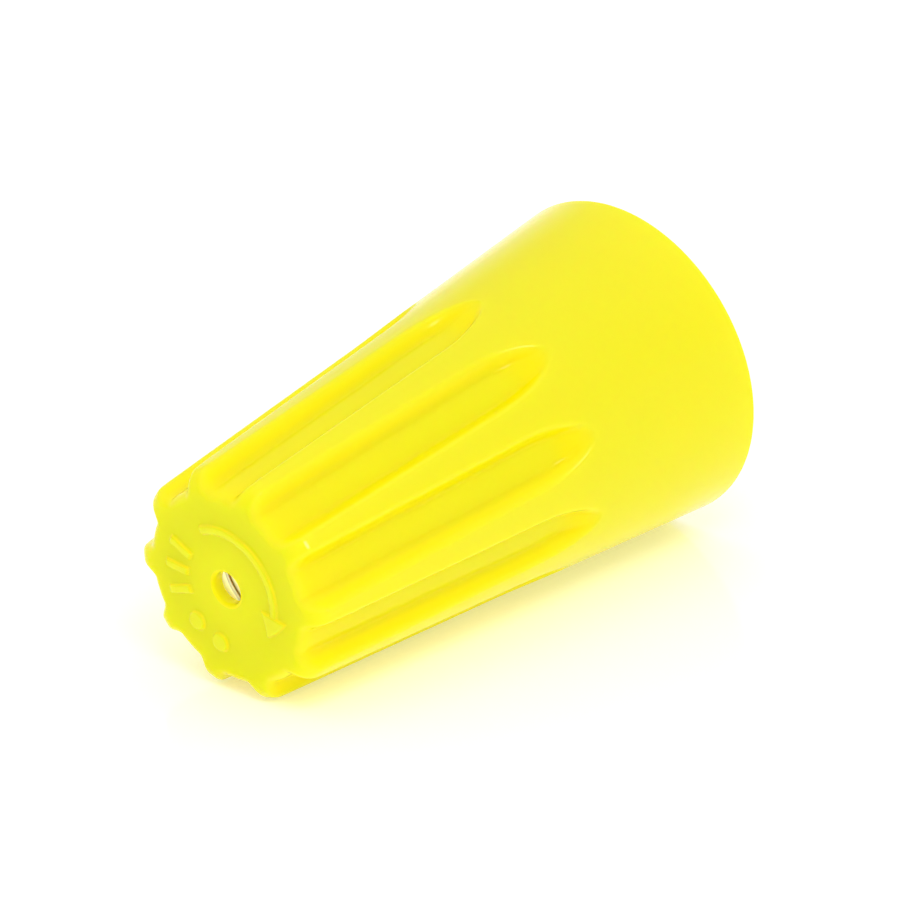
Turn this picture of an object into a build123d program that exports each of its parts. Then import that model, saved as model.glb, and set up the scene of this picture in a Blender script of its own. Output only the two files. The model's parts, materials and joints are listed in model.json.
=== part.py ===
from build123d import *
import os
from math import asin, atan, cos, degrees, radians, sin, sqrt, tan

# Twist-on wire connector: a one-piece moulded insulating cap with a coil of square steel wire
# caged inside. Millimetres. Each piece is first made upright, with the cap's closed end on
# z = 0 and its mouth facing +Z, and is then laid on its side as it rests on a table.

# --- outside of the cap ---
LENGTH = 25.5  # closed face to mouth rim
CLOSED_RADIUS = 5.22  # over the ridges, at the closed face
WAIST = 16.5  # from the closed face to where the skirt begins to flare a little more
WAIST_RADIUS = 6.5
MOUTH_RADIUS = 7.3
CLOSED_EDGE_ROUND = 0.9
RIM_ROUND = 0.15

# --- grip grooves ---
GROOVES = 10
GROOVE_DEPTH_CLOSED = 0.8  # below the ridges, at the closed face
GROOVE_DEPTH_ARCH = 0.6  # where the pointed end begins
GROOVE_FLOOR_HALF_WIDTH = 0.69
GROOVE_ARCH_START = 12.0  # from the closed face to where the pointed end begins
GROOVE_TIP = 16.6  # from the closed face to the point, on the outside
GROOVE_WALL_DRAFT = 30.0  # degrees between a groove's side wall and the radial direction

# --- inside of the cap ---
END_WALL = 0.6  # around the small hole in the closed face
END_HOLE_RADIUS = 0.75
END_HOLE_ROUND = 0.1
RECESS_RADIUS = 1.7  # shallow recess behind the small hole
SPRING_SEAT = 1.2  # from the closed face to the floor that the spring stands on
POCKET_CLEARANCE = 0.12  # between the spring's outer corners and the pocket's wall
LIP_LENGTH = 0.45  # moulded lip that cages the spring
LIP_HEIGHT = 0.35
SKIRT_BORE_RADIUS = 5.7
SKIRT_BORE_START = 17.1
SKIRT_BORE_END = 21.6
MOUTH_INNER_RADIUS = 6.42

# --- square-wire spring ---
WIRE_SIDE = 0.85
SPRING_PITCH = 1.3
SPRING_TURNS = 10
SPRING_SMALL_RADIUS = 2.85  # to the wire's centre, at the closed end
SPRING_LARGE_RADIUS = 4.15
SPRING_END_GAP = 0.1  # play along the axis at each end

# --- stops that limit how far the spring turns in its pocket ---
SPRING_TURN_LIMIT = 6.0  # degrees each way
STOP_MARGIN = 0.5  # degrees left between wire and stop at the limit
STOP_ARC = 14.0  # degrees that a stop spans
STOP_HEIGHT = 0.9
STOP_REACH = 0.85  # from the pocket's wall towards the axis

WIRE_HALF_DIAGONAL = WIRE_SIDE / 2**0.5
SPRING_START = SPRING_SEAT + SPRING_END_GAP + WIRE_HALF_DIAGONAL  # wire centre
SPRING_RISE = SPRING_PITCH * SPRING_TURNS
SPRING_FLARE = (SPRING_LARGE_RADIUS - SPRING_SMALL_RADIUS) / SPRING_RISE
POCKET_END = SPRING_START + SPRING_RISE + WIRE_HALF_DIAGONAL + SPRING_END_GAP


def crest_radius(z):
    """Radius over the ridges, which is also the smooth skirt's radius."""
    if z < WAIST:
        return CLOSED_RADIUS + (WAIST_RADIUS - CLOSED_RADIUS) * z / WAIST
    return WAIST_RADIUS + (MOUTH_RADIUS - WAIST_RADIUS) * (z - WAIST) / (LENGTH - WAIST)


def pocket_radius(z):
    """Radius of the conical pocket that the spring lies in."""
    wire_centre = SPRING_SMALL_RADIUS + SPRING_FLARE * (z - SPRING_START)
    return wire_centre + WIRE_HALF_DIAGONAL + POCKET_CLEARANCE


def cap_blank():
    """The cap turned as a solid of revolution, hollow and without its grooves."""
    lip_radius = pocket_radius(POCKET_END) - LIP_HEIGHT
    points = [
        (END_HOLE_RADIUS, 0),
        (CLOSED_RADIUS, 0),
        (WAIST_RADIUS, WAIST),
        (MOUTH_RADIUS, LENGTH),
        (MOUTH_INNER_RADIUS, LENGTH),
        (SKIRT_BORE_RADIUS, SKIRT_BORE_END),
        (SKIRT_BORE_RADIUS, SKIRT_BORE_START),
        (lip_radius, POCKET_END + LIP_LENGTH),
        (lip_radius, POCKET_END),
        (pocket_radius(POCKET_END), POCKET_END),
        (pocket_radius(SPRING_SEAT), SPRING_SEAT),
        (RECESS_RADIUS, SPRING_SEAT),
        (RECESS_RADIUS, END_WALL),
        (END_HOLE_RADIUS, END_WALL),
    ]
    outline = Polyline([(r, 0, z) for r, z in points], close=True)
    section = make_face(outline)
    rounds = {
        points[0]: END_HOLE_ROUND,
        points[1]: CLOSED_EDGE_ROUND,
        points[3]: RIM_ROUND,
        points[4]: RIM_ROUND,
    }
    for (r, z), radius in rounds.items():
        corner = section.vertices().sort_by_distance((r, 0, z))[0]
        section = fillet(corner, radius)
    return revolve(section, Axis.Z)


def groove_spread(height):
    """How far a groove's drafted wall moves outward over a height above the floor."""
    return height * tan(radians(GROOVE_WALL_DRAFT))


def groove_cutter():
    """One groove on the +X side: a straight channel with drafted walls and a pointed end."""
    floor_closed = CLOSED_RADIUS - GROOVE_DEPTH_CLOSED
    floor_arch = crest_radius(GROOVE_ARCH_START) - GROOVE_DEPTH_ARCH
    floor_flare = (floor_arch - floor_closed) / GROOVE_ARCH_START
    along = Vector(floor_flare, 0, 1).normalized()
    outward = Vector(1, 0, -floor_flare).normalized()

    # The pointed end is two arcs that leave the sides tangentially and cross at the tip.
    crest_half_width = GROOVE_FLOOR_HALF_WIDTH + groove_spread(GROOVE_DEPTH_ARCH)
    arch_run = GROOVE_TIP - GROOVE_ARCH_START
    arch_radius = (arch_run**2 + crest_half_width**2) / (2 * crest_half_width)
    arch_centre = crest_half_width - arch_radius

    height = 2 * GROOVE_DEPTH_CLOSED
    half_width = GROOVE_FLOOR_HALF_WIDTH + groove_spread(height)
    tip = GROOVE_ARCH_START + sqrt((half_width - arch_centre) ** 2 - arch_centre**2)
    back = -2.0
    upper = Line((back, half_width), (GROOVE_ARCH_START, half_width))
    upper += TangentArc(upper @ 1, (tip, 0), tangent=(1, 0))
    lower = mirror(upper, Plane.XZ)
    outline = make_face(upper + lower + Line((back, -half_width), (back, half_width)))
    top = Plane(origin=Vector(floor_closed, 0, 0) + outward * height, x_dir=along, z_dir=outward)
    return extrude(top * outline, -height, taper=GROOVE_WALL_DRAFT)


def wire_end_angles():
    """Polar angles of the spring's two cut ends, which both lie on the +X side."""
    return 0.0, 360.0 * SPRING_TURNS


def stop_rib(z, start_angle):
    """A moulded block on the pocket's wall, spanning STOP_ARC degrees from start_angle."""
    outer = pocket_radius(z) + 0.3
    inner = pocket_radius(z) - STOP_REACH
    corners = [
        (inner, z - STOP_HEIGHT / 2),
        (outer, z - STOP_HEIGHT / 2),
        (outer, z + STOP_HEIGHT / 2),
        (inner, z + STOP_HEIGHT / 2),
    ]
    section = make_face(Polyline([(r, 0, h) for r, h in corners], close=True))
    return Rot(0, 0, start_angle) * revolve(section, Axis.Z, STOP_ARC)


def make_shell():
    shell = cap_blank()
    cutter = groove_cutter()
    for k in range(GROOVES):
        shell -= Rot(0, 0, k * 360 / GROOVES) * cutter
    gap = SPRING_TURN_LIMIT + STOP_MARGIN
    first, last = wire_end_angles()
    shell += stop_rib(SPRING_START, first - gap - STOP_ARC)
    shell += stop_rib(SPRING_START + SPRING_RISE, last + gap)
    return shell


def make_spring():
    """Square wire wound in a right-hand cone, one edge of the wire towards the axis."""
    cone_angle = degrees(atan(SPRING_FLARE))
    slant_pitch = SPRING_PITCH / cos(radians(cone_angle))  # measured along the cone's side
    path = Helix(
        pitch=slant_pitch,
        height=SPRING_RISE,
        radius=SPRING_SMALL_RADIUS,
        cone_angle=cone_angle,
    )
    path = Pos(0, 0, SPRING_START) * path
    start = path @ 0
    section = Plane(origin=start, x_dir=(1, 0, 0), z_dir=path % 0) * Rot(0, 0, 45)
    return sweep(section * Rectangle(WIRE_SIDE, WIRE_SIDE), path=path, is_frenet=True)


def resting_tilt():
    """Angle of the axis, in degrees, when the rim and the two lowest ridges touch the table."""
    ridge_z = CLOSED_EDGE_ROUND
    rim_z = LENGTH - RIM_ROUND
    half_width = GROOVE_FLOOR_HALF_WIDTH + groove_spread(GROOVE_DEPTH_CLOSED)
    ridge_drop = crest_radius(ridge_z) * cos(asin(half_width / crest_radius(ridge_z)))
    return degrees(atan((crest_radius(rim_z) - ridge_drop) / (rim_z - ridge_z)))


def lay_down(shape, tilt, shift):
    """From upright to lying along +X, the mouth's end of the axis raised by tilt degrees."""
    return Pos(shift) * Rot(0, 90 - tilt, 0) * shape


shell_upright = make_shell()
spring_upright = make_spring()

tilt = resting_tilt()
box = lay_down(shell_upright, tilt, Vector(0, 0, 0)).bounding_box()
shift = Vector(-(box.min.X + box.max.X) / 2, -(box.min.Y + box.max.Y) / 2, -box.min.Z)

pieces = {"shell": shell_upright, "spring": spring_upright}
os.makedirs("parts", exist_ok=True)
for name, piece in pieces.items():
    export_step(lay_down(piece, tilt, shift), f"parts/{name}.step")

axis = Vector(cos(radians(tilt)), 0, sin(radians(tilt)))
print("tilt", round(tilt, 4), "closed face centre", shift, "axis", axis)
print("bounding box", box.size)
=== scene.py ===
import json
import math
from functools import partial

import bpy
import numpy as np
from mathutils import Matrix, Vector

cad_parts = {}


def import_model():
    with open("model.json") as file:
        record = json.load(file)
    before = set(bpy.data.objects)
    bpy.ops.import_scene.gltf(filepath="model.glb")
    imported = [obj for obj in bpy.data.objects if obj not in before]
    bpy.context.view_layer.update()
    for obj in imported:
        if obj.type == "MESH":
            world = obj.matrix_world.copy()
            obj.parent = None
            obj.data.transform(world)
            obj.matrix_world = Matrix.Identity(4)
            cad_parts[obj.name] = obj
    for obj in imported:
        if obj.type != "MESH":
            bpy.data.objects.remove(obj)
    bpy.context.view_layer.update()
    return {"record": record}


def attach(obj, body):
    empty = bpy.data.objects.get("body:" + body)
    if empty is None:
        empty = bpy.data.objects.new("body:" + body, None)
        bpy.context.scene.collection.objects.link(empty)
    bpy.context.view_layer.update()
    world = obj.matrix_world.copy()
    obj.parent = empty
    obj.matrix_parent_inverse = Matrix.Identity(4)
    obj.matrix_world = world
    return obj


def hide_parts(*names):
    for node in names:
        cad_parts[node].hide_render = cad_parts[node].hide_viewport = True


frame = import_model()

# A twist-on wire connector lying on its side: a ribbed yellow cap with a coil of square wire
# inside. Shapes are worked out in millimetres along the connector's own axis, where x is the
# distance from the closed face and an angle of 0 is the side that lies uppermost, then placed
# in the row frame, in metres.

MM = 0.001

# --- outside of the cap ---
LENGTH = 25.5
CLOSED_RADIUS = 5.22  # over the ridges, at the closed face
WAIST = 16.5  # from the closed face to where the skirt begins to flare a little more
WAIST_RADIUS = 6.5
MOUTH_RADIUS = 7.3
RIDGE_END_ROUND = 0.95  # edge between a ridge and the closed face
FLOOR_END_ROUND = 0.45  # edge between a groove's floor and the closed face
RIM_ROUND = 0.15

# --- grip grooves ---
GROOVES = 10
GROOVE_DEPTH_CLOSED = 0.8  # at the closed face
GROOVE_DEPTH_ARCH = 0.6  # where the pointed end begins
GROOVE_FLOOR_HALF_WIDTH = 0.69
GROOVE_ARCH_START = 13.0
GROOVE_TIP = 16.6
GROOVE_ARCH_POWER = 0.7  # below 1, the pointed end is fuller than a parabola
GROOVE_WALL_SLOPE = 1.8  # depth gained per millimetre inwards
GROOVE_RUNOUT_SLOPE = 0.35  # how fast the floor rises to nothing at the pointed end
GROOVE_RUNOUT_BLEND = 0.2  # softens the start of that rise
GROOVE_FOOT_BLEND = 0.35  # softens the corner between wall and floor
GROOVE_CREST_BLEND = 0.22  # softens the corner between wall and ridge
GROOVE_KEEL_ROUND = 0.18  # softens the line where the two walls meet near the tip

# --- inside of the cap ---
END_WALL = 0.6
END_HOLE_RADIUS = 0.75
RECESS_RADIUS = 1.7
SPRING_SEAT = 1.2  # the floor that the spring stands on
POCKET_CLEARANCE = 0.12
LIP_LENGTH = 0.45  # of the lip that cages the spring
LIP_HEIGHT = 0.35
SKIRT_BORE_RADIUS = 5.7
SKIRT_BORE_START = 17.1
SKIRT_BORE_END = 21.6
MOUTH_INNER_RADIUS = 6.42

# --- spring ---
WIRE_SIDE = 0.85
WIRE_CORNER = 0.07
SPRING_PITCH = 1.3
SPRING_TURNS = 10
SPRING_SMALL_RADIUS = 2.85
SPRING_LARGE_RADIUS = 4.15
SPRING_END_GAP = 0.1

# --- stops on the pocket's wall, one beyond each cut end of the wire ---
SPRING_TURN_LIMIT = 6.0  # degrees
STOP_MARGIN = 0.5  # degrees
STOP_ARC = 14.0  # degrees
STOP_HEIGHT = 0.9  # along the axis
STOP_REACH = 0.85  # inwards from the pocket's wall
STOP_ROOT = 0.3  # hidden in the pocket's wall
STOP_STEPS = 8

FLARE = (WAIST_RADIUS - CLOSED_RADIUS) / WAIST
SKIRT_FLARE = (MOUTH_RADIUS - WAIST_RADIUS) / (LENGTH - WAIST)
WIRE_HALF_DIAGONAL = WIRE_SIDE / math.sqrt(2)
SPRING_START = SPRING_SEAT + SPRING_END_GAP + WIRE_HALF_DIAGONAL
SPRING_RISE = SPRING_PITCH * SPRING_TURNS
SPRING_FLARE = (SPRING_LARGE_RADIUS - SPRING_SMALL_RADIUS) / SPRING_RISE
POCKET_END = SPRING_START + SPRING_RISE + WIRE_HALF_DIAGONAL + SPRING_END_GAP

# --- how finely the pieces are drawn ---
AROUND_GROOVES = 600
AROUND_PLAIN = 200
FACE_RINGS = 56
EDGE_RINGS = 15
GROOVE_RINGS = 14
ARCH_RINGS = 50
SKIRT_RINGS = 10
GROOVE_RINGS_START = 1.3  # just past the rounded edge of the closed end
RING_GAP = 0.6
PATH_STEP = 0.04
WIRE_STEPS_PER_TURN = 72


def connector_frame():
    """Closed face centre and the three axis directions, in the row frame, from the record."""
    mount = next(m for m in frame["record"]["mounts"] if m["name"] == "conductor_entry")
    along = Vector(mount["axis"]).normalized()
    side = Vector((0, 1, 0))
    upper = along.cross(side).normalized()
    if upper.z < 0:
        upper.negate()
    middle = (SKIRT_BORE_START + SKIRT_BORE_END) / 2
    centre = Vector(mount["pos_m"]) - along * (middle * MM)
    return centre, along, upper, side


CENTRE, ALONG, UPPER, SIDE = connector_frame()


def placed(x, r, angle):
    """Row-frame points, in metres, of arrays of axial distance, radius and angle."""
    x, r, angle = np.broadcast_arrays(x, r, angle)
    return np.array(CENTRE) + MM * (
        x[:, None] * np.array(ALONG)
        + (r * np.cos(angle))[:, None] * np.array(UPPER)
        + (r * np.sin(angle))[:, None] * np.array(SIDE)
    )


def add_object(name, data):
    """A scene object around a mesh, a light or a camera."""
    piece = bpy.data.objects.new(name, data)
    bpy.context.scene.collection.objects.link(piece)
    return piece


# ---------------------------------------------------------------- outside of the cap

def crest_radius(x):
    """Radius over the ridges, which is also the smooth skirt's radius."""
    return np.where(x < WAIST, CLOSED_RADIUS + FLARE * x, WAIST_RADIUS + SKIRT_FLARE * (x - WAIST))


def smooth_min(a, b, blend):
    """The lower of two heights, rounded off where they differ by less than the blend."""
    near = np.clip(blend - np.abs(a - b), 0, None) / blend
    return np.minimum(a, b) - near * near * blend / 4


def smooth_max(a, b, blend):
    return -smooth_min(-a, -b, blend)


def groove_depth(x, angle):
    """How far the surface lies below the ridges at each axial distance and angle."""
    pitch = 2 * math.pi / GROOVES
    offset = (angle + pitch / 2) % pitch - pitch / 2
    across = np.hypot(crest_radius(x) * np.sin(offset), GROOVE_KEEL_ROUND) - GROOVE_KEEL_ROUND
    half_width = GROOVE_FLOOR_HALF_WIDTH + GROOVE_DEPTH_ARCH / GROOVE_WALL_SLOPE
    share = np.clip((x - GROOVE_ARCH_START) / (GROOVE_TIP - GROOVE_ARCH_START), 0, None)
    reach = half_width * np.clip(1 - share**2, 0, None) ** GROOVE_ARCH_POWER
    reach = reach - np.clip(x - GROOVE_TIP, 0, None)
    slope = (GROOVE_DEPTH_ARCH - GROOVE_DEPTH_CLOSED) / GROOVE_ARCH_START
    full = GROOVE_DEPTH_CLOSED + slope * np.clip(x, 0, None)
    extra = np.clip(full - GROOVE_DEPTH_ARCH, 0, None) / GROOVE_WALL_SLOPE  # deeper is wider
    runout = (GROOVE_TIP - x) * GROOVE_RUNOUT_SLOPE
    full = smooth_min(full, runout, GROOVE_RUNOUT_BLEND)
    wall = (reach + extra - across) * GROOVE_WALL_SLOPE
    depth = smooth_min(wall, full, GROOVE_FOOT_BLEND)
    return smooth_max(depth, 0, GROOVE_CREST_BLEND)


# Each maker below gives a ring's axial distances and radii, at the angles it is handed.

def outer_ring(x, angle):
    return np.full_like(angle, x), crest_radius(x) - groove_depth(x, angle)


def plain_ring(x, r, angle):
    return np.full_like(angle, x), np.full_like(angle, r)


# The colour carries painted light and shade: a painted highlight on the raised marks' tops, a pale
# painted shade on the flat end, the warmer ordinary yellow on the thin skirt, and the deepest
# painted shade in hollows. A point's painted shade is stored with the mesh, and picks the colour.
PAINTED_MARK_HIGHLIGHT, FLAT_END_PAINTED_SHADE, ORDINARY, DEEPEST_PAINTED_SHADE = 0.0, 0.25, 0.5, 1.0
# Painted shade added on the grooves' floors and, more, on their side walls.
FLOOR_PAINTED_SHADE = 0.33
WALL_PAINTED_SHADE = 0.27


def outer_painted_shade(x, angle):
    """Painted shade of the outside: deep in the grooves, deepest on their side walls."""
    sunk = np.clip(groove_depth(x, angle) / GROOVE_DEPTH_ARCH, 0, 1)
    side_wall = 4 * sunk * (1 - sunk)
    return ORDINARY + FLOOR_PAINTED_SHADE * sunk + WALL_PAINTED_SHADE * side_wall


def edge_ring(turn, angle):
    """A ring on the rounded edge of the closed end; turn is 0 at the face, 1 at the side."""
    cone = math.atan(FLARE)
    depth = groove_depth(0.0, angle)
    share = depth / GROOVE_DEPTH_CLOSED
    rounding = RIDGE_END_ROUND + (FLOOR_END_ROUND - RIDGE_END_ROUND) * share
    beta = turn * (math.pi / 2 - cone)
    middle = CLOSED_RADIUS - depth + FLARE * rounding - rounding / math.cos(cone)
    return rounding * (1 - np.cos(beta)), middle + rounding * np.sin(beta)


def edge_painted_shade(turn, angle):
    """Painted shade of the rounded edge, from the flat end's to the side's."""
    return FLAT_END_PAINTED_SHADE + (outer_painted_shade(0.0, angle) - FLAT_END_PAINTED_SHADE) * turn


# ---------------------------------------------------------------- closed face marks

MARK_HEIGHT = 0.16
MARK_EDGE = 0.12  # width of a mark's sloping side
MARK_RADIUS = 2.75  # of the circle that the marks lie along
MARK_STROKE = 0.36
MARK_FOOT_PAINTED_SHADE = 0.7  # painted shade added along the sloping sides
ARROW_START = 25.0  # degrees from the uppermost point; the arrow runs the way the cap is screwed on
ARROW_SWEEP = 150.0
ARROW_HEAD_LENGTH = 1.15
ARROW_HEAD_HALF_WIDTH = 0.68
TICK_ANGLES = (62.0, 84.0, 106.0)
TICK_HALF_LENGTH = 0.62
DOT_ANGLES = (138.0, 168.0)
DOT_RADIUS = 0.42
FACE_LIP_RADIUS = END_HOLE_RADIUS + 0.16  # where the flat face meets the hole's rounded lip


def mark_rise(r, angle):
    """Raised marks around the hole: a plain turn arrow, three ticks and two dots. 0 to 1."""
    def turned(degrees):
        """Angle from a direction, between half a turn back and half a turn ahead."""
        return (angle - math.radians(degrees) + math.pi) % (2 * math.pi) - math.pi

    out = r - MARK_RADIUS
    shaft_end = ARROW_SWEEP - math.degrees(ARROW_HEAD_LENGTH / MARK_RADIUS)
    middle = turned(ARROW_START - shaft_end / 2)
    shaft = np.maximum(
        np.abs(out) - MARK_STROKE / 2,
        (np.abs(middle) - math.radians(shaft_end / 2)) * MARK_RADIUS,
    )
    ahead = -turned(ARROW_START - shaft_end) * MARK_RADIUS
    taper = ARROW_HEAD_HALF_WIDTH * (1 - ahead / ARROW_HEAD_LENGTH)
    head = np.maximum(np.abs(out) - taper, -ahead)
    nearest = np.minimum(shaft, head)
    for degrees in TICK_ANGLES:
        across = r * np.sin(turned(degrees))
        tick = np.maximum(np.abs(across) - MARK_STROKE / 2, np.abs(out) - TICK_HALF_LENGTH)
        tick = np.where(np.abs(turned(degrees)) < 1, tick, 1.0)  # not across the hole as well
        nearest = np.minimum(nearest, tick)
    for degrees in DOT_ANGLES:
        across = r * np.sin(turned(degrees))
        along = r * np.cos(turned(degrees)) - MARK_RADIUS
        nearest = np.minimum(nearest, np.hypot(across, along) - DOT_RADIUS)
    rise = np.clip(0.5 - nearest / MARK_EDGE, 0, 1)
    return rise * rise * (3 - 2 * rise)


def face_radius(share, angle):
    """Radius on the closed face; share is 0 at the hole's lip and 1 at the rounded edge."""
    _, edge = edge_ring(0.0, angle)
    return FACE_LIP_RADIUS + (edge - FACE_LIP_RADIUS) * share


def face_ring(share, angle):
    """A ring on the closed face, raised where a mark is."""
    r = face_radius(share, angle)
    return -MARK_HEIGHT * mark_rise(r, angle), r


def face_painted_shading(share, angle):
    """Painted light and shade of the closed face: a painted highlight on the marks, painted shade
    along the foot of each.
    """
    rise = mark_rise(face_radius(share, angle), angle)
    return FLAT_END_PAINTED_SHADE + (PAINTED_MARK_HIGHLIGHT - FLAT_END_PAINTED_SHADE) * rise + MARK_FOOT_PAINTED_SHADE * 4 * rise * (1 - rise)


# ---------------------------------------------------------------- mesh tools

def rounded_path(corners):
    """Points along straight lines through corners (x, r, radius), each corner rounded."""
    points = []
    for i, (x, r, radius) in enumerate(corners):
        here = np.array([x, r])
        if radius == 0 or i in (0, len(corners) - 1):
            points.append(here)
            continue
        back = np.array(corners[i - 1][:2]) - here
        ahead = np.array(corners[i + 1][:2]) - here
        back /= np.linalg.norm(back)
        ahead /= np.linalg.norm(ahead)
        half = math.acos(np.clip(back @ ahead, -1, 1)) / 2
        reach = radius / math.tan(half)
        middle = here + (back + ahead) / np.linalg.norm(back + ahead) * radius / math.sin(half)
        start = here + back * reach - middle
        end = here + ahead * reach - middle
        sweep = math.pi - 2 * half
        count = max(3, round(radius * sweep / PATH_STEP))
        for k in range(count + 1):
            t = k / count
            arm = start * math.sin((1 - t) * sweep) + end * math.sin(t * sweep)
            points.append(middle + arm / math.sin(sweep))
    return points


class RingMesh:
    """A surface built ring by ring; neighbouring rings may differ in their number of points."""

    def __init__(self):
        self.points = []
        self.painted_shades = []
        self.faces = []
        self.rings = []
        self.total = 0

    def add(self, count, maker, painted_shading):
        """Adds a ring of count points, joined to the ring before it."""
        angle = np.arange(count) * 2 * math.pi / count
        x, r = maker(angle)
        self.points.append(placed(x, r, angle))
        self.painted_shades.append(painted_shading(angle) if callable(painted_shading) else np.full(count, painted_shading))
        self.rings.append(range(self.total, self.total + count))
        self.total += count
        if len(self.rings) > 1:
            self.bridge(self.rings[-2], self.rings[-1])

    def bridge(self, a, b):
        """Faces between two rings; the finer ring's spare points lie along the faces' sides."""
        na, nb = len(a), len(b)
        coarse = min(na, nb)
        for k in range(coarse):
            span_a = [a[(k * na // coarse + i) % na] for i in range(na // coarse + 1)]
            span_b = [b[(k * nb // coarse + i) % nb] for i in range(nb // coarse + 1)]
            self.faces.append(span_a + span_b[::-1])

    def close(self):
        """Joins the last ring to the first."""
        self.bridge(self.rings[-1], self.rings[0])

    def build(self, name):
        mesh = bpy.data.meshes.new(name)
        mesh.from_pydata(np.concatenate(self.points).tolist(), [], self.faces)
        mesh.validate()
        mesh.shade_smooth()
        # Each point's painted light and shade, which picks its colour in the plastic material.
        painted_shading = mesh.attributes.new("painted_shading", "FLOAT", "POINT")
        painted_shading.data.foreach_set("value", np.concatenate(self.painted_shades))
        return add_object(name, mesh)


# ---------------------------------------------------------------- cap

def pocket_radius(x):
    """Radius of the conical pocket, which follows the coil with a little clearance."""
    wire_centre = SPRING_SMALL_RADIUS + SPRING_FLARE * (x - SPRING_START)
    return wire_centre + WIRE_HALF_DIAGONAL + POCKET_CLEARANCE


def inner_path():
    """Outline of the cap's inside, from the mouth rim to the small hole's lip, in millimetres."""
    lip_radius = pocket_radius(POCKET_END) - LIP_HEIGHT
    corners = [
        (LENGTH, (MOUTH_RADIUS + MOUTH_INNER_RADIUS) / 2, 0),
        (LENGTH, MOUTH_INNER_RADIUS, RIM_ROUND),
        (SKIRT_BORE_END, SKIRT_BORE_RADIUS, 2.0),
        (SKIRT_BORE_START, SKIRT_BORE_RADIUS, 0.3),
        (POCKET_END + LIP_LENGTH, lip_radius, 0.12),
        (POCKET_END, lip_radius, 0.12),
        (POCKET_END, pocket_radius(POCKET_END), 0.08),
        (SPRING_SEAT, pocket_radius(SPRING_SEAT), 0.25),
        (SPRING_SEAT, RECESS_RADIUS, 0.1),
        (END_WALL, RECESS_RADIUS, 0.15),
        (END_WALL, END_HOLE_RADIUS, 0.06),
        (0, END_HOLE_RADIUS, 0.14),
        (0, FACE_LIP_RADIUS, 0),
    ]
    return rounded_path(corners)


def add_stop(cap, x, start):
    """A block that reaches in from the pocket's wall, spanning STOP_ARC degrees from start."""
    outer = pocket_radius(x) + STOP_ROOT
    inner = pocket_radius(x) - STOP_REACH
    half = STOP_HEIGHT / 2
    outline = np.array(rounded_path([
        (x, outer, 0),
        (x - half, outer, 0.02),
        (x - half, inner, 0.12),
        (x + half, inner, 0.12),
        (x + half, outer, 0.02),
        (x, outer, 0),
    ])[:-1])
    size = len(outline)
    first = cap.total
    for k in range(STOP_STEPS + 1):
        angle = math.radians(start + STOP_ARC * k / STOP_STEPS)
        cap.points.append(placed(outline[:, 0], outline[:, 1], angle))
        # The stops are painted in the deepest shade.
        cap.painted_shades.append(np.full(size, DEEPEST_PAINTED_SHADE))
    cap.total += size * (STOP_STEPS + 1)
    for k in range(STOP_STEPS):
        a = first + k * size
        b = a + size
        for i in range(size):
            j = (i + 1) % size
            cap.faces.append([a + i, a + j, b + j, b + i])
    cap.faces.append([first + i for i in reversed(range(size))])
    cap.faces.append([first + STOP_STEPS * size + i for i in range(size)])


def make_cap():
    """The cap's whole skin, ring by ring: closed face, grooves, skirt, rim, inside and hole."""
    cap = RingMesh()
    for share in np.linspace(0, 1, FACE_RINGS)[:-1]:
        cap.add(AROUND_GROOVES, partial(face_ring, share), partial(face_painted_shading, share))
    for turn in np.linspace(0, 1, EDGE_RINGS):
        cap.add(AROUND_GROOVES, partial(edge_ring, turn), partial(edge_painted_shade, turn))
    straight = np.linspace(GROOVE_RINGS_START, GROOVE_ARCH_START - RING_GAP, GROOVE_RINGS)
    arch_end = GROOVE_TIP + 0.4  # a little past the grooves' tips
    arch = np.linspace(GROOVE_ARCH_START, arch_end, ARCH_RINGS)
    for x in np.concatenate([straight, arch]):
        cap.add(AROUND_GROOVES, partial(outer_ring, x), partial(outer_painted_shade, x))
    rim_start = LENGTH - RIM_ROUND
    for x in np.linspace(arch_end + RING_GAP, rim_start, SKIRT_RINGS):
        cap.add(AROUND_PLAIN, partial(outer_ring, x), ORDINARY)
    rim = rounded_path([
        (rim_start, float(crest_radius(rim_start)), 0),
        (LENGTH, MOUTH_RADIUS, RIM_ROUND * 0.9),  # smaller, so that it begins past rim_start
        (LENGTH, (MOUTH_RADIUS + MOUTH_INNER_RADIUS) / 2, 0),
    ])
    for x, r in rim[1:-1]:
        cap.add(AROUND_PLAIN, partial(plain_ring, x, r), ORDINARY)
    for x, r in inner_path()[:-1]:
        # Inside, past the skirt's bore, the pocket is painted in the deepest shade.
        painted_shading = DEEPEST_PAINTED_SHADE if x < SKIRT_BORE_END else ORDINARY
        cap.add(AROUND_PLAIN, partial(plain_ring, x, r), painted_shading)
    cap.close()
    gap = SPRING_TURN_LIMIT + STOP_MARGIN
    add_stop(cap, SPRING_START, 180 + gap)
    add_stop(cap, SPRING_START + SPRING_RISE, 180 - gap - STOP_ARC)
    return cap.build("cap")


# ---------------------------------------------------------------- spring

def wire_section():
    """Square wire with small rounded corners, one corner towards the axis."""
    points = []
    reach = WIRE_SIDE / 2 - WIRE_CORNER
    for corner in range(4):
        middle = math.radians(90 * corner)
        centre = np.array([math.cos(middle), math.sin(middle)]) * reach * math.sqrt(2)
        for turn in (-45, -22, 0, 22, 45):  # degrees around the rounded corner
            arm = middle + math.radians(turn)
            points.append(centre + WIRE_CORNER * np.array([math.cos(arm), math.sin(arm)]))
    return points


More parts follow.
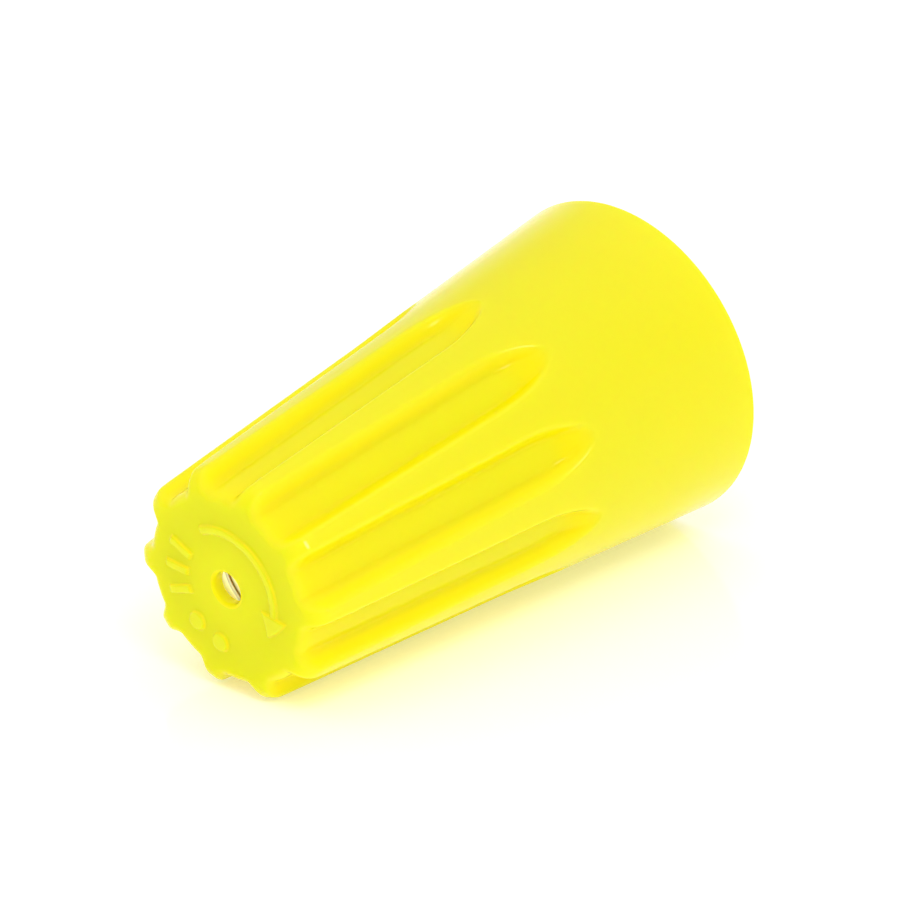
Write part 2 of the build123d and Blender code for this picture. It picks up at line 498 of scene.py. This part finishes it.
def make_spring():
    """The wire's section carried along a conical right-hand helix, with flat cut ends."""
    section = np.array(wire_section())
    size = len(section)
    count = WIRE_STEPS_PER_TURN * SPRING_TURNS
    points = []
    for k in range(count + 1):
        turns = k / WIRE_STEPS_PER_TURN
        x = SPRING_START + SPRING_PITCH * turns
        r = SPRING_SMALL_RADIUS + SPRING_FLARE * SPRING_PITCH * turns
        angle = math.pi - 2 * math.pi * turns
        points.append(placed(x + section[:, 1], r + section[:, 0], angle))
    faces = []
    for k in range(count):
        a = k * size
        b = a + size
        for i in range(size):
            j = (i + 1) % size
            faces.append((a + i, b + i, b + j, a + j))
    faces.append(tuple(range(size)))
    faces.append(tuple(count * size + i for i in reversed(range(size))))
    mesh = bpy.data.meshes.new("coil")
    mesh.from_pydata(np.concatenate(points).tolist(), [], faces)
    mesh.validate()
    mesh.shade_smooth()
    return add_object("coil", mesh)


# ---------------------------------------------------------------- materials

def new_material(name):
    """A new material's nodes, their links and the shader, with the material itself first."""
    material = bpy.data.materials.new(name)
    material.use_nodes = True
    nodes = material.node_tree.nodes
    return material, nodes, material.node_tree.links, nodes["Principled BSDF"]


def noise(nodes, links, scale, detail):
    """Output of a noise that is fixed to the piece."""
    place = nodes.new("ShaderNodeTexCoord")
    pattern = nodes.new("ShaderNodeTexNoise")
    pattern.inputs["Scale"].default_value = scale
    pattern.inputs["Detail"].default_value = detail
    links.new(place.outputs["Object"], pattern.inputs["Vector"])
    return pattern.outputs["Fac"]


def colour_ramp(nodes, stops):
    """A ramp node through stops (position, colour), given in rising order."""
    ramp = nodes.new("ShaderNodeValToRGB")
    elements = ramp.color_ramp.elements
    elements[0].position = stops[0][0]
    elements[1].position = stops[-1][0]
    for position, _ in stops[1:-1]:
        elements.new(position)
    for element, (_, colour) in zip(elements, stops):
        element.color = (*colour, 1)
    return ramp


def vary_roughness(nodes, links, shader, pattern, low, high):
    """Roughness between two values, as a pattern has it."""
    gloss = nodes.new("ShaderNodeMapRange")
    gloss.inputs["To Min"].default_value = low
    gloss.inputs["To Max"].default_value = high
    links.new(pattern, gloss.inputs["Value"])
    links.new(gloss.outputs["Result"], shader.inputs["Roughness"])


def plastic():
    """Glossy, translucent yellow; the painted light and shade stored with the mesh, made slightly
    uneven, tints it.
    """
    material, nodes, links, shader = new_material("yellow_polypropylene")
    mottle = noise(nodes, links, scale=220, detail=3)
    painted_shading = nodes.new("ShaderNodeAttribute")
    painted_shading.attribute_name = "painted_shading"
    uneven = nodes.new("ShaderNodeMath")
    uneven.operation = "MULTIPLY_ADD"
    uneven.inputs[1].default_value = 0.12  # how much of the mottle is added to the painted shade
    links.new(mottle, uneven.inputs[0])
    links.new(painted_shading.outputs["Fac"], uneven.inputs[2])
    # Stops: painted highlight on the marks' tops, painted shade of the flat end, the ordinary
    # yellow, and the deepest painted shade with painted orange bounce light.
    tint = colour_ramp(nodes, [
        (0.06, (0.75, 0.765, 0.018)),
        (0.31, (0.74, 0.755, 0.001)),
        (0.56, (0.80, 0.755, 0.018)),
        (1.0, (0.92, 0.795, 0.001)),
    ])
    links.new(uneven.outputs["Value"], tint.inputs["Fac"])
    links.new(tint.outputs["Color"], shader.inputs["Base Color"])
    vary_roughness(nodes, links, shader, mottle, 0.1, 0.18)
    shader.inputs["Subsurface Weight"].default_value = 0.9
    shader.inputs["Subsurface Radius"].default_value = (1.0, 0.7, 0.08)
    shader.inputs["Subsurface Scale"].default_value = 0.0018
    shader.inputs["IOR"].default_value = 1.3
    shader.inputs["Specular IOR Level"].default_value = 0.33
    return material


def steel():
    """Zinc-plated wire, slightly uneven in colour and gloss."""
    material, nodes, links, shader = new_material("zinc_plated_wire")
    grain = noise(nodes, links, scale=1500, detail=4)
    tint = colour_ramp(nodes, [(0.0, (0.88, 0.89, 0.9)), (1.0, (0.95, 0.955, 0.96))])
    links.new(grain, tint.inputs["Fac"])
    links.new(tint.outputs["Color"], shader.inputs["Base Color"])
    vary_roughness(nodes, links, shader, grain, 0.25, 0.4)
    shader.inputs["Metallic"].default_value = 1
    return material


# ---------------------------------------------------------------- pieces

cap = make_cap()
cap.data.materials.append(plastic())
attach(cap, "cap")
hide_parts("shell")

coil = make_spring()
coil.data.materials.append(steel())
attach(coil, "coil")
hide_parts("spring")


# ---------------------------------------------------------------- stage

SOFT_LIGHT_DISTANCE = 0.6


def floor():
    """A bright white table with a faint mirror image."""
    size = 1.5
    mesh = bpy.data.meshes.new("floor")
    corners = [(-size, -size, 0), (size, -size, 0), (size, size, 0), (-size, size, 0)]
    mesh.from_pydata(corners, [], [(0, 1, 2, 3)])
    piece = add_object("floor", mesh)
    material, _, _, shader = new_material("white_acrylic")
    shader.inputs["Base Color"].default_value = (0.95, 0.95, 0.95, 1)
    shader.inputs["Roughness"].default_value = 0.12
    shader.inputs["Emission Color"].default_value = (1, 0.97, 0.75, 1)
    shader.inputs["Emission Strength"].default_value = 0.28
    piece.data.materials.append(material)


def world():
    """A white studio: bright below the horizon and overhead, dimmer in between."""
    studio = bpy.data.worlds.new("studio")
    bpy.context.scene.world = studio
    studio.use_nodes = True
    nodes, links = studio.node_tree.nodes, studio.node_tree.links
    background = nodes["Background"]
    background.inputs["Strength"].default_value = 1.15
    place = nodes.new("ShaderNodeTexCoord")
    split = nodes.new("ShaderNodeSeparateXYZ")
    links.new(place.outputs["Generated"], split.inputs["Vector"])
    heights = [(0.1, 0.93), (0.45, 0.55), (0.75, 0.75), (1.0, 1.0)]  # how bright each height is
    sky = colour_ramp(nodes, [(height, (bright, bright, bright)) for height, bright in heights])
    links.new(split.outputs["Z"], sky.inputs["Fac"])
    links.new(sky.outputs["Color"], background.inputs["Color"])


def add_light(name, kind, place, power, colour, lights_body, makes_glints):
    """A light that may be left out of the body's own light or out of its reflections."""
    data = bpy.data.lights.new(name, kind)
    data.energy = power
    data.color = colour
    lamp = add_object(name, data)
    lamp.location = place
    lamp.visible_diffuse = lights_body
    lamp.visible_glossy = makes_glints
    return lamp


def soft_light(name, direction, size, power, colour, **seen):
    """A square soft light over the table that faces the connector from a direction."""
    way = Vector(direction).normalized()
    lamp = add_light(name, "AREA", way * SOFT_LIGHT_DISTANCE, power, colour, **seen)
    lamp.data.size = size
    lamp.rotation_euler = way.to_track_quat("Z", "Y").to_euler()


def pocket_light(name, x, radius, power, colour, **seen):
    """A round light on the axis, for the daylight that soaks through the thin translucent wall."""
    lamp = add_light(name, "POINT", CENTRE + ALONG * (x * MM), power, colour, **seen)
    lamp.data.shadow_soft_size = radius * MM


def camera():
    """A long lens that looks down on the closed face and one side."""
    azimuth, elevation, lean = math.radians(-47.28), math.radians(24.1), math.radians(-0.93)
    target = Vector((2.348, 1.078, 6.021)) * MM
    distance = 0.604
    data = bpy.data.cameras.new("camera")
    data.lens = 564.9
    data.clip_start = 0.01
    eye = add_object("camera", data)
    back = Vector((
        math.sin(azimuth) * math.cos(elevation),
        -math.cos(azimuth) * math.cos(elevation),
        math.sin(elevation),
    ))
    eye.location = target + back * distance
    facing = Matrix.Rotation(lean, 3, back) @ back.to_track_quat("Z", "Y").to_matrix()
    eye.rotation_euler = facing.to_euler()
    bpy.context.scene.camera = eye


floor()
world()
soft_light("key", (-0.35, -0.5, 0.8), size=0.2, power=0.95, colour=(1.0, 0.92, 0.85),
           lights_body=True, makes_glints=False)
soft_light("glints", (0.15, -0.75, 0.6), size=0.13, power=1.4, colour=(1.0, 0.95, 0.85),
           lights_body=False, makes_glints=True)
pocket_light("glow", x=6.0, radius=1.5, power=0.00045, colour=(1.0, 0.96, 0.6),
             lights_body=True, makes_glints=False)
pocket_light("wire_glow", x=1.4, radius=1.2, power=0.00006, colour=(1.0, 1.0, 0.6),
             lights_body=False, makes_glints=True)
camera()
bpy.context.scene.view_settings.view_transform = "Standard"
